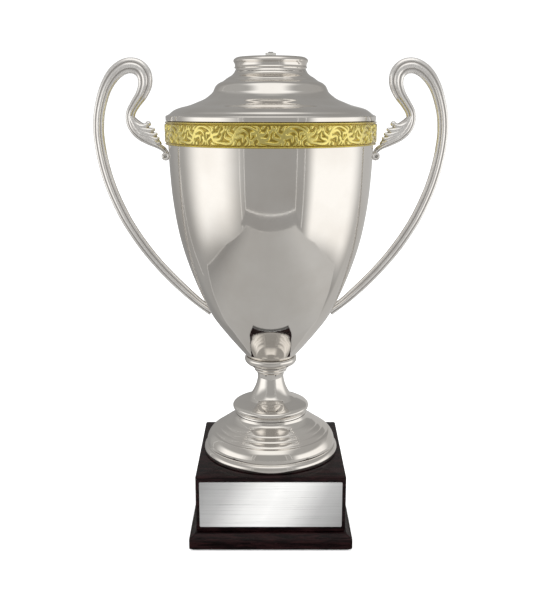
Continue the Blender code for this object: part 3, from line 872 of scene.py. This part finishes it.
# Lobes of the leaf inside the upper curl, each from its root on the strap to its tip, as (x, z, half width).
LEAF_LOBES = [
    [(94.6, 292.0, 1.2), (92.2, 287.0, 2.2), (88.8, 284.6, 2.4), (85.2, 284.6, 2.0), (82.8, 286.0, 1.4)],
    [(93.8, 288.4, 1.2), (90.4, 284.2, 2.2), (86.0, 282.2, 2.5), (82.0, 281.8, 2.1), (79.4, 282.4, 1.3)],
    [(92.4, 284.8, 1.2), (88.4, 281.6, 2.1), (84.0, 279.6, 2.4), (80.2, 278.8, 2.0), (77.6, 279.4, 1.2)],
    [(90.4, 282.0, 1.2), (86.4, 279.2, 2.0), (82.0, 277.4, 2.2), (78.4, 276.2, 1.8), (76.2, 276.6, 1.1)],
    [(88.0, 279.6, 1.2), (84.0, 277.0, 1.8), (80.0, 275.2, 1.9), (77.0, 273.8, 1.5), (75.0, 273.8, 0.9)],
]
# The thin plate of metal that joins the lobes.
LEAF_WEB = [
    (93.6, 290.6, 1.6, 1.9),
    (89.8, 285.2, 3.4, 2.2),
    (85.4, 281.4, 4.2, 2.2),
    (80.8, 278.0, 3.4, 2.1),
    (77.0, 274.8, 2.0, 2.0),
    (74.4, 272.4, 1.0, 1.8),
]
LEAF_KNOB = (82.6, 286.2, 1.9)
LEAF_HALF_DEPTH = 3.0
WALL_CLEARANCE = 0.3


def reed_depth(across):
    """Depth and relief of the reeded section at a share across it: three ribs and two grooves."""
    groove = math.exp(-(((abs(across) - 0.40) / 0.115) ** 2))
    crown = math.exp(-((across / 0.22) ** 2))
    depth = (1 - abs(across) ** 3.2) ** 0.5 * (0.88 - 0.17 * groove) + 0.12 * crown
    # relief is a colour share: low in the grooves for painted shade, highest on the middle rib for a painted
    # highlight.
    relief = min(1.0, 0.70 * (1 - groove) + 0.3 * crown)
    return depth, relief


def reed_section():
    """Points round the section as (share of half width, share of half depth, relief)."""
    section = []
    half = STRAP_AROUND // 2
    for face in (1, -1):
        for step in range(half):
            across = face * math.cos(math.pi * step / half)
            depth, relief = reed_depth(across)
            section.append((across, face * max(depth, 0.0), relief))
    return section


def swept(shape, stations, section, side, store):
    """Adds a closed sweep in the XZ plane to a bmesh; stations are (x, z, half width, half depth)."""
    rings = []
    for index, (x, z, half_width, half_depth) in enumerate(stations):
        before = stations[max(index - 1, 0)]
        after = stations[min(index + 1, len(stations) - 1)]
        along = Vector((after[0] - before[0], after[1] - before[1])).normalized()
        ring = []
        for across, deep, relief in section:
            sideways = across * half_width
            place_3d = Vector((side * (x - along.y * sideways), deep * half_depth, z + along.x * sideways))
            clear = wall_radius(place_3d.z) + WALL_CLEARANCE
            reach = math.hypot(place_3d.x, place_3d.y)
            if reach < clear and place_3d.z < BOWL_HIGH.z:
                place_3d.x = side * math.sqrt(max(clear**2 - place_3d.y**2, 0.0))
            vert = shape.verts.new(place_3d * MM)
            vert[store] = relief
            ring.append(vert)
        rings.append(ring)
    shape.faces.new(reversed(rings[0]))
    shape.faces.new(rings[-1])
    for ring, following in zip(rings, rings[1:]):
        for index in range(len(section)):
            after = (index + 1) % len(section)
            shape.faces.new((ring[index], ring[after], following[after], following[index]))


def round_section(points, ridge):
    """An oval section whose middle is brighter than its edges: a painted highlight down the middle and
    painted shade at the edges.
    """
    section = []
    for step in range(points):
        angle = 2 * math.pi * step / points
        section.append((math.cos(angle), math.sin(angle), ridge * (0.15 + 0.85 * abs(math.sin(angle)))))
    return section


def add_ball(shape, centre, radius, side, store):
    """A small closed bead."""
    made = bmesh.ops.create_uvsphere(shape, u_segments=20, v_segments=12, radius=radius * MM)
    for vert in made["verts"]:
        vert.co += Vector((side * centre[0], centre[1], centre[2])) * MM
        vert[store] = 0.8


def build_handle(word, side, material):
    """One cast handle: the reeded strap, the leaf inside its upper curl, and the scroll against the bowl."""
    shape = bmesh.new()
    store = shape.verts.layers.float.new("relief")
    strap = curve_through(HANDLE_KEYS, STRAP_STEPS)
    swept(shape, strap, reed_section(), side, store)

    oval = round_section(18, 1.0)
    # The web's low ridge share paints it grey, as painted shade between the lobes.
    swept(shape, curve_through(LEAF_WEB, 6), round_section(18, 0.35), side, store)
    for lobe in LEAF_LOBES:
        stations = []
        for x, z, half_width in curve_through(lobe, 6):
            stations.append((x, z, half_width, LEAF_HALF_DEPTH * min(1.0, 0.45 + 0.3 * half_width)))
        tip_x, tip_z, tip_width = lobe[-1]
        swept(shape, stations, oval, side, store)
        add_ball(shape, (tip_x, 0.0, tip_z), tip_width * 1.02, side, store)
    knob_x, knob_z, knob_radius = LEAF_KNOB
    add_ball(shape, (knob_x, 0.0, knob_z), knob_radius, side, store)

    curl = []
    for step in range(41):
        share = step / 40
        angle = math.radians(95 + 420 * share)
        radius = 2.35 - 1.15 * share
        width = 1.30 - 0.35 * share
        x = SCROLL_CENTRE[0] + radius * math.cos(angle)
        z = SCROLL_CENTRE[1] + radius * math.sin(angle)
        curl.append((x, z, width, 2.6))
    swept(shape, curl, round_section(20, 0.95), side, store)

    bmesh.ops.recalc_face_normals(shape, faces=shape.faces)
    mesh = bpy.data.meshes.new("cast_handle_" + word)
    shape.to_mesh(mesh)
    shape.free()
    mesh.shade_smooth()
    mesh.set_sharp_from_angle(angle=math.radians(60.0))
    mesh.materials.append(material)
    obj = bpy.data.objects.new("cast_handle_" + word, mesh)
    bpy.context.scene.collection.objects.link(obj)
    place(obj, "cup", "silver", "handle_" + word)


# ---------------------------------------------------------------- lid


def build_lid(material):
    """The stepped lid, its locating ring, and the cap on its crown."""
    seat = LID_LOW.z
    top = LID_HIGH.z
    rim = [(68.2, seat), (70.0, seat), (70.3, seat + 0.3), (70.4, 291.0), (70.1, 291.6), (69.5, 291.9)]
    step = curve_through([(68.9, 292.1), (67.6, 292.9), (66.2, 294.1), (64.6, 295.2)], 3)
    sweep_keys = [(63.2, 295.9), (60.2, 296.9), (54.0, 298.5), (48.6, 300.6), (44.0, 302.6), (40.4, 305.2)]
    sweep = curve_through(sweep_keys, 6)
    groove = curve_through([(39.4, 306.1), (38.6, 307.0), (38.2, 307.8)], 3)
    shoulder = curve_through([(37.8, 308.7), (36.7, 310.8), (34.8, 312.5), (32.6, 313.6)], 5)
    steps = [(31.6, 314.0), (31.2, 314.4), (30.3, 314.9), (29.9, 315.4), (28.9, 316.0)]
    neck = curve_through([(28.2, 316.5), (26.4, 317.5), (24.9, 318.8), (24.2, top)], 5)
    inside = [
        (STUD_HOLE, top),
        (STUD_HOLE, top - SHELL),
        (22.6, top - SHELL),
        *curve_through([(33.4, 311.4), (38.8, 304.6), (43.4, 301.4), (53.4, 297.4), (62.6, 294.8)], 4),
        (66.4, 292.0),
        (67.6, 290.0),
    ]
    outline = rounded([*rim, *step, *sweep, *groove, *shoulder, *steps, *neck, *inside], 0.35)
    place(turned("spun_lid", outline, material), "lid", "silver", "lid_dome")

    ring_low, ring_high = node_corners("lid_locating_ring")
    outer = ring_high.x
    outline = [
        (outer - 1.2, ring_low.z),
        (outer - 0.3, ring_low.z),
        (outer, ring_low.z + 0.7),
        (outer, ring_low.z + 5.5),
        (outer - 2.4, ring_high.z),
        (outer - 3.6, ring_high.z),
        (outer - 1.2, ring_low.z + 5.5),
    ]
    ring = turned("lid_guide_ring", rounded(outline, 0.3), material)
    place(ring, "lid", "silver", "lid_locating_ring")

    low, high = CAP_LOW.z, CAP_HIGH.z
    hollow = curve_through([(24.1, low + 0.1), (23.6, low + 0.8), (23.3, low + 1.5), (23.4, low + 2.0)], 4)
    wall = curve_through([(24.3, low + 2.3), (23.8, 323.6), (24.0, 325.2), (24.7, 326.3)], 5)
    lip = curve_through([(24.85, 326.9), (24.5, 327.8), (23.5, 328.7), (22.2, 329.25), (20.8, high)], 4)
    crown = [(20.2, high - 0.1), (19.5, high - 0.5), (9.0, high - 0.5), (STUD_HOLE, high - 0.5)]
    inner = [(STUD_HOLE, high - 1.5), (22.6, high - 1.5), (22.6, low)]
    outline = rounded([(24.0, low), *hollow, *wall, *lip, *crown, *inner], 0.25)
    place(turned("cap_on_lid", outline, material), "lid", "silver", "lid_top_collar")


# ---------------------------------------------------------------- fasteners


def threaded_rod(name, radius, pitch, low, high, material):
    """A rod with a cut thread and domed ends, on the Z axis."""
    samples = max(int((high - low) / pitch * 6), 8)
    around = 32
    rings = [[(0.05 * radius * math.cos(a), 0.05 * radius * math.sin(a), low) for a in circle(around)]]
    for index in range(samples + 1):
        z = low + (high - low) * index / samples
        to_end = min(z - low, high - z)
        ends = min(1.0, 0.80 + 0.2 * to_end / (0.8 * pitch))
        ring = []
        for angle in circle(around):
            phase = (z / pitch - angle / (2 * math.pi)) % 1.0
            cut = 0.09 * (1 - abs(2 * phase - 1))
            size = radius * ends * (1 - cut)
            ring.append((size * math.cos(angle), size * math.sin(angle), z))
        rings.append(ring)
    rings.append([(0.05 * radius * math.cos(a), 0.05 * radius * math.sin(a), high) for a in circle(around)])
    return lofted(name, rings, material, 50.0)


def circle(count):
    """Angles round a full turn."""
    return [2 * math.pi * step / count for step in range(count)]


def hex_nut(name, across_flats, hole, low, high, material):
    """A hexagon nut with its corners turned off at 30 degrees, on the Z axis."""
    around = 72
    corner = across_flats / math.sqrt(3)
    rings = []
    for share in (0.0, 0.04, 0.09, 0.14, 0.5, 0.86, 0.91, 0.96, 1.0):
        z = low + (high - low) * share
        to_face = min(z - low, high - z)
        limit = across_flats / 2 * 0.97 + to_face * math.sqrt(3)
        ring = []
        for angle in circle(around):
            sector = (angle + math.pi / 6) % (math.pi / 3) - math.pi / 6
            size = min(across_flats / 2 / math.cos(sector), corner, limit)
            ring.append((size * math.cos(angle), size * math.sin(angle), z))
        rings.append(ring)
    for radius, z in ((hole + 0.5, high), (hole, high - 0.5), (hole, low + 0.5), (hole + 0.5, low)):
        rings.append([(radius * math.cos(a), radius * math.sin(a), z) for a in circle(around)])
    rings = np.asarray(rings, float)
    rows, columns = rings.shape[:2]
    faces = grid_faces(rows, columns, wrap_rows=True)
    return mesh_object(name, rings.reshape(-1, 3), faces, material, 20.0)


def washer(name, hole, radius, low, high, material):
    outline = [(hole, low), (radius, low), (radius, high), (hole, high)]
    return turned(name, rounded(outline, 0.2), material, AROUND_SMALL)


def screw_placement(side, height):
    """World matrix whose origin is on the bowl's outer wall and whose Z axis points out of it."""
    step = 0.5
    slope = (wall_radius(height + step) - wall_radius(height - step)) / (2 * step)
    normal = Vector((side, 0.0, -slope)).normalized()
    turn = Vector((0.0, 0.0, 1.0)).rotation_difference(normal).to_matrix().to_4x4()
    return Matrix.Translation(Vector((side * wall_radius(height), 0.0, height)) * MM) @ turn


def slotted_screw(name, placement, head, material):
    """A domed screw head with a driver slot, its shank running out through the wall into the handle."""
    dome = [(0.0, head - 2.0), (1.2, head - 1.95), (2.2, head - 1.6), (2.75, head - 0.9), (2.8, head)]
    shank = [(1.25, head), (1.25, 3.8), (0.7, 4.4), (0.0, 4.4)]
    screw = turned(name, [*dome, *shank], material, 48)
    for vert in screw.data.vertices:
        _, y, z = vert.co / MM
        if z < head - 0.8 and abs(y) < 0.45:
            vert.co.z = (head - 0.8) * MM
    screw.data.transform(placement)
    return screw


def build_fasteners(material):
    """The rod and nuts that clamp the cup together, the lid's stud, and the handle screws inside the bowl."""
    for name, node, pitch in (("clamping_rod", "tie_rod", 1.0), ("lid_rod", "lid_stud", 0.7)):
        low, high = node_corners(node)
        rod = threaded_rod(name, high.x, pitch, low.z, high.z, material)
        place(rod, "cup" if node == "tie_rod" else "lid", "steel", node)

    nuts = (
        ("rod_nut_below", "tie_rod_nut_bottom", ROD_NUT, ROD_HOLE - THREAD_ROOM, "cup"),
        ("rod_nut_above", "tie_rod_nut_top", ROD_NUT, ROD_HOLE - THREAD_ROOM, "cup"),
        ("lid_nut_above", "lid_nut_top", STUD_NUT, STUD_HOLE - THREAD_ROOM, "lid"),
        ("lid_nut_below", "lid_nut_bottom", STUD_NUT, STUD_HOLE - THREAD_ROOM, "lid"),
    )
    for name, node, across_flats, hole, body in nuts:
        low, high = node_corners(node)
        place(hex_nut(name, across_flats, hole, low.z, high.z, material), body, "steel", node)

    washers = (
        ("rod_washer_below", "tie_rod_washer_bottom", ROD_HOLE, "cup"),
        ("rod_washer_above", "tie_rod_washer_top", ROD_HOLE, "cup"),
        ("lid_washer_below", "lid_washer_bottom", STUD_HOLE, "lid"),
    )
    for name, node, hole, body in washers:
        low, high = node_corners(node)
        place(washer(name, hole, high.x, low.z, high.z, material), body, "steel", node)

    washer_start = -SHELL - 2 * GAP - SCREW_WASHER_DEPTH
    washer_end = washer_start + SCREW_WASHER_DEPTH
    for word, side in (("left", -1), ("right", 1)):
        for level, height in SCREW_LEVELS:
            tag = f"{word}_{level}"
            placement = screw_placement(side, height)
            sizes = (SCREW_HOLE, SCREW_WASHER, washer_start, washer_end)
            ring = washer("cup_washer_" + tag, *sizes, material)
            ring.data.transform(placement)
            place(ring, "cup", "steel", "handle_washer_" + tag)
            screw = slotted_screw("cup_screw_" + tag, placement, washer_start - GAP, material)
            place(screw, "cup", "steel", "handle_screw_" + tag)


# ---------------------------------------------------------------- stage

TENT_RADIUS = 1700.0
TENT_CENTRE = 225.0  # height of the middle of the tent
WALL_LIGHT = 0.43
WARM = (1.0, 0.98, 0.95)


def smooth_step(value, low, high):
    """0 below low, 1 above high, and smooth between."""
    share = min(max((value - low) / (high - low), 0.0), 1.0)
    return share * share * (3 - 2 * share)


def window(value, low, high, soft, soft_high=None):
    """1 between low and high, with soft edges outside."""
    fall = soft if soft_high is None else soft_high
    return smooth_step(value, low - soft, low) * (1 - smooth_step(value, high, high + fall))


def tent_light(azimuth, elevation):
    """Brightness of the light tent in a direction; azimuth 0 is towards the camera, + is towards +X."""
    a, e = math.radians(azimuth), math.radians(elevation)
    across = abs(math.cos(e) * math.sin(a))
    over = math.degrees(math.atan2(math.sin(e), math.cos(e) * math.cos(a)))
    light = WALL_LIGHT * (0.80 + 0.20 * window(abs(azimuth), 0, 125, 20))
    light = light * (0.86 + 0.14 * smooth_step(elevation, -30, 10))
    light = light + (0.52 - light) * window(azimuth, 126, 172, 8) * window(elevation, -60, 8, 4)
    left = window(azimuth, -80, -58, 34, 34) * window(elevation, -14, 8, 20, 16)
    right = window(azimuth, 51, 97, 15, 32) * window(elevation, -22, 8, 14, 16)
    light = light + (1.24 - light) * 0.94 * left
    light = light + (1.20 - light) * 0.95 * right
    overhead = window(over, 50, 92, 12, 16) * (1 - smooth_step(across, 0.25, 0.62))
    return light + (1.10 - light) * overhead


def emission(name, strength, attribute=None):
    """A material that only shines, in one brightness or in the brightness stored on the mesh."""
    material = bpy.data.materials.new(name)
    material.use_nodes = True
    tree = material.node_tree
    tree.nodes.clear()
    shader = add_node(tree, "ShaderNodeEmission", {"Color": (*WARM, 1.0), "Strength": strength})
    if attribute:
        stored = add_node(tree, "ShaderNodeAttribute", attribute_name=attribute)
        tree.links.new(stored.outputs["Fac"], shader.inputs["Strength"])
    output = add_node(tree, "ShaderNodeOutputMaterial")
    tree.links.new(shader.outputs["Emission"], output.inputs["Surface"])
    return material


def seen_only_in_reflections(obj):
    obj.visible_camera = False
    obj.visible_diffuse = False
    obj.visible_shadow = False
    obj.visible_transmission = False
    obj.visible_volume_scatter = False


def tent_point(azimuth, elevation, radius):
    a, e = math.radians(azimuth), math.radians(elevation)
    flat = radius * math.cos(e)
    return (flat * math.sin(a), -flat * math.cos(a), TENT_CENTRE + radius * math.sin(e))


def build_tent():
    """The white tent round the cup, which shows only in reflections."""
    azimuths = np.arange(-180, 180, 1.0)
    elevations = np.arange(-89, 90, 1.0)
    verts = [tent_point(a, e, TENT_RADIUS) for e in elevations for a in azimuths]
    light = [tent_light(a, e) for e in elevations for a in azimuths]
    tent = lofted(
        "light_tent",
        np.asarray(verts).reshape(len(elevations), len(azimuths), 3),
        emission("tent_glow", 1.0, "glow"),
    )
    attribute = tent.data.attributes.new("glow", "FLOAT", "POINT")
    attribute.data.foreach_set("value", np.asarray(light, np.float32))
    seen_only_in_reflections(tent)

    bright = emission("seam_glow", 0.95)
    seams = [
        [(-33.5, elevation) for elevation in range(-24, 50, 2)],
        [(36.5, elevation) for elevation in range(-24, 50, 2)],
        [(-120, elevation) for elevation in range(-30, 60, 2)],
    ]
    for number, path in enumerate(seams):
        ribbon = tent_ribbon(f"tent_seam_{number}", path, 0.55, bright)
        seen_only_in_reflections(ribbon)


def tent_ribbon(name, path, width, material):
    """A narrow strip along a path of (azimuth, elevation), just inside the tent."""
    radius = TENT_RADIUS * 0.98
    verts = []
    for index, (azimuth, elevation) in enumerate(path):
        before = path[max(index - 1, 0)]
        after = path[min(index + 1, len(path) - 1)]
        along = Vector((after[0] - before[0], after[1] - before[1])).normalized()
        for half in (-width / 2, width / 2):
            verts.append(tent_point(azimuth - along.y * half, elevation + along.x * half, radius))
    faces = [(2 * i, 2 * i + 1, 2 * i + 3, 2 * i + 2) for i in range(len(path) - 1)]
    return mesh_object(name, verts, faces, material)


# The grey table sheet that the bowl reflects: the same on both sides, narrower at the front, and cut at
# its back corners.
SHEET_FRONT = -497.0
SHEET_FRONT_HALF = 262.0
SHEET_WIDEST_HALF = 356.0
SHEET_WIDEST_AT = -255.0
SHEET_SIDE_END = 38.0
SHEET_BACK = 76.0
SHEET_BACK_HALF = 262.0
SHEET_SIDE = [
    (SHEET_FRONT_HALF, SHEET_FRONT),
    (SHEET_WIDEST_HALF, SHEET_WIDEST_AT),
    (SHEET_WIDEST_HALF, SHEET_SIDE_END),
    (SHEET_BACK_HALF, SHEET_BACK),
]
TABLE_SHEET = [*SHEET_SIDE, *((-x, y) for x, y in reversed(SHEET_SIDE))]
PANEL_Y = -640.0  # the dark front panel of the tent, behind the camera
PANEL_LEFT = -331.0
PANEL_RIGHT = 324.0
PANEL_TOP = 580.0
PANEL_EDGE = 6.0  # width of the bright line round the panel


def glowing_sheet(name, corners, glow):
    """A flat shape that shines in one brightness, and only in reflections."""
    sheet = mesh_object(name, corners, [tuple(range(len(corners)))], glow)
    seen_only_in_reflections(sheet)


def upright(left, right, low, high, y):
    """Corners of an upright rectangle that faces the cup."""
    return [(left, y, low), (right, y, low), (right, y, high), (left, y, high)]


def build_front_panel():
    """The dark panel in front of the cup, the bright line round it, and the dark floor before it."""
    bright = emission("panel_edge_glow", 0.95)
    front = PANEL_Y + 1.0
    left, right = PANEL_LEFT, PANEL_RIGHT
    glowing_sheet("front_panel", upright(left, right, 0, PANEL_TOP, PANEL_Y), emission("panel_glow", 0.385))
    glowing_sheet("panel_left_edge", upright(left - PANEL_EDGE, left, 0, PANEL_TOP, front), bright)
    glowing_sheet("panel_right_edge", upright(right, right + PANEL_EDGE, 0, PANEL_TOP, front), bright)
    glowing_sheet("panel_low_edge", upright(left, right, 0, PANEL_EDGE, front), bright)
    strip = [(left, PANEL_Y, -1.5), (right, PANEL_Y, -1.5), (right, -480, -1.5), (left, -480, -1.5)]
    glowing_sheet("dark_floor_strip", strip, emission("dark_floor_glow", 0.35))


def sheet_emission():
    """The table sheet's glow, darker at its left edge and brighter towards its right."""
    material = emission("sheet_glow", 0.46)
    tree = material.node_tree
    coords = add_node(tree, "ShaderNodeTexCoord").outputs["Object"]
    parts = add_node(tree, "ShaderNodeSeparateXYZ", {"Vector": coords})
    across = spread(tree, parts.outputs["X"], 0.0, 1.0, -0.32, 0.30)
    levels = [(0.0, 0.32), (0.12, 0.43), (0.20, 0.47), (0.50, 0.455), (0.68, 0.475)]
    levels += [(0.80, 0.52), (0.92, 0.58)]
    glow = colour_ramp(tree, across, [(position, (level, level, level)) for position, level in levels])
    tree.links.new(glow, tree.nodes["Emission"].inputs["Strength"])
    return material


def build_floor():
    """A pale floor for the camera, and the grey sheet that stands in for it in reflections."""
    white = bpy.data.materials.new("pale_floor")
    white.use_nodes = True
    tree = white.node_tree
    shader = tree.nodes["Principled BSDF"]
    shader.inputs["Roughness"].default_value = 0.9
    shader.inputs["Specular IOR Level"].default_value = 0.1
    shader.inputs["Emission Strength"].default_value = 0.30
    coords = add_node(tree, "ShaderNodeTexCoord").outputs["Object"]
    shades = [(0.3, (0.93, 0.93, 0.93)), (0.7, (0.95, 0.95, 0.95))]
    paper = colour_ramp(tree, noise(tree, coords, 3.0), shades)
    tree.links.new(paper, shader.inputs["Base Color"])
    reach = 12000.0
    below = -0.3  # just under the felt
    corners = [(-reach, -reach, below), (reach, -reach, below), (reach, reach, below), (-reach, reach, below)]
    floor = mesh_object("pale_floor", corners, [(0, 1, 2, 3)], white)
    floor.visible_glossy = False

    depth = 1.0
    glowing_sheet("table_sheet", [(x, y, -depth) for x, y in TABLE_SHEET], sheet_emission())
    near, far = PLINTH_HIGH.x - 1.0, PLINTH_HIGH.x + 16.0
    shadow = emission("contact_shadow_glow", 0.12)
    for turn in range(4):
        flat = Matrix.Rotation(turn * math.pi / 2, 2)
        side = ((-far, -far), (far, -far), (near, -near), (-near, -near))
        corners = [flat @ Vector(corner) for corner in side]
        glowing_sheet(f"contact_shadow_{turn}", [(x, y, -depth + 0.4) for x, y in corners], shadow)
    width = 7.0
    verts = []
    for x, y in TABLE_SHEET:
        outward = Vector((x, y + 200)).normalized() * width
        verts += [(x, y, -depth + 0.2), (x + outward.x, y + outward.y, -depth + 0.2)]
    count = len(TABLE_SHEET)
    faces = [(2 * i, 2 * i + 1, 2 * ((i + 1) % count) + 1, 2 * ((i + 1) % count)) for i in range(count)]
    border = mesh_object("sheet_border", verts, faces, emission("border_glow", 0.62))
    seen_only_in_reflections(border)


def add_area_light(name, location, size, energy):
    light = bpy.data.lights.new(name, "AREA")
    light.shape = "DISK"
    light.size = size
    light.energy = energy
    obj = bpy.data.objects.new(name, light)
    obj.location = location
    direction = Vector((0.0, 0.0, 0.15)) - Vector(location)
    obj.rotation_euler = direction.to_track_quat("-Z", "Y").to_euler()
    obj.visible_glossy = False
    obj.visible_camera = False
    bpy.context.scene.collection.objects.link(obj)


def build_lights():
    """A white surround and two soft lights, none of which the metal reflects."""
    world = bpy.data.worlds.new("white_studio")
    world.use_nodes = True
    background = world.node_tree.nodes["Background"]
    background.inputs["Color"].default_value = (1.0, 1.0, 1.0, 1.0)
    background.inputs["Strength"].default_value = 1.15
    bpy.context.scene.world = world
    world.cycles_visibility.glossy = False
    add_area_light("key_light", (0.7, -1.1, 1.5), 0.9, 12.0)
    add_area_light("fill_light", (-1.0, -0.9, 1.2), 1.2, 8.0)
    bpy.context.scene.view_settings.view_transform = "Standard"


def build_camera():
    """The camera, in front of the cup at the height of its lid, looking down on it by 13 degrees."""
    camera = bpy.data.cameras.new("camera")
    camera.lens = 49.09
    camera.sensor_width = 36.0
    camera.clip_end = 100.0
    obj = bpy.data.objects.new("camera", camera)
    obj.location = (-0.0005, -0.5719, 0.2962)
    obj.rotation_euler = (math.radians(76.74), 0.0, 0.0)
    bpy.context.scene.collection.objects.link(obj)
    bpy.context.scene.camera = obj


# ---------------------------------------------------------------- all together


def main():
    build_camera()
    build_lights()
    build_tent()
    build_front_panel()
    build_floor()

    silver = spun_silver()
    cast = cast_silver()
    lacquer = rosewood_lacquer()
    build_base(lacquer, brushed_plate(), wool_felt())
    build_foot(silver)
    build_stem(silver)
    build_bowl(silver)
    build_band(gilt())
    build_handle("left", -1, cast)
    build_handle("right", 1, cast)
    build_lid(silver)
    build_fasteners(zinc_steel())


main()
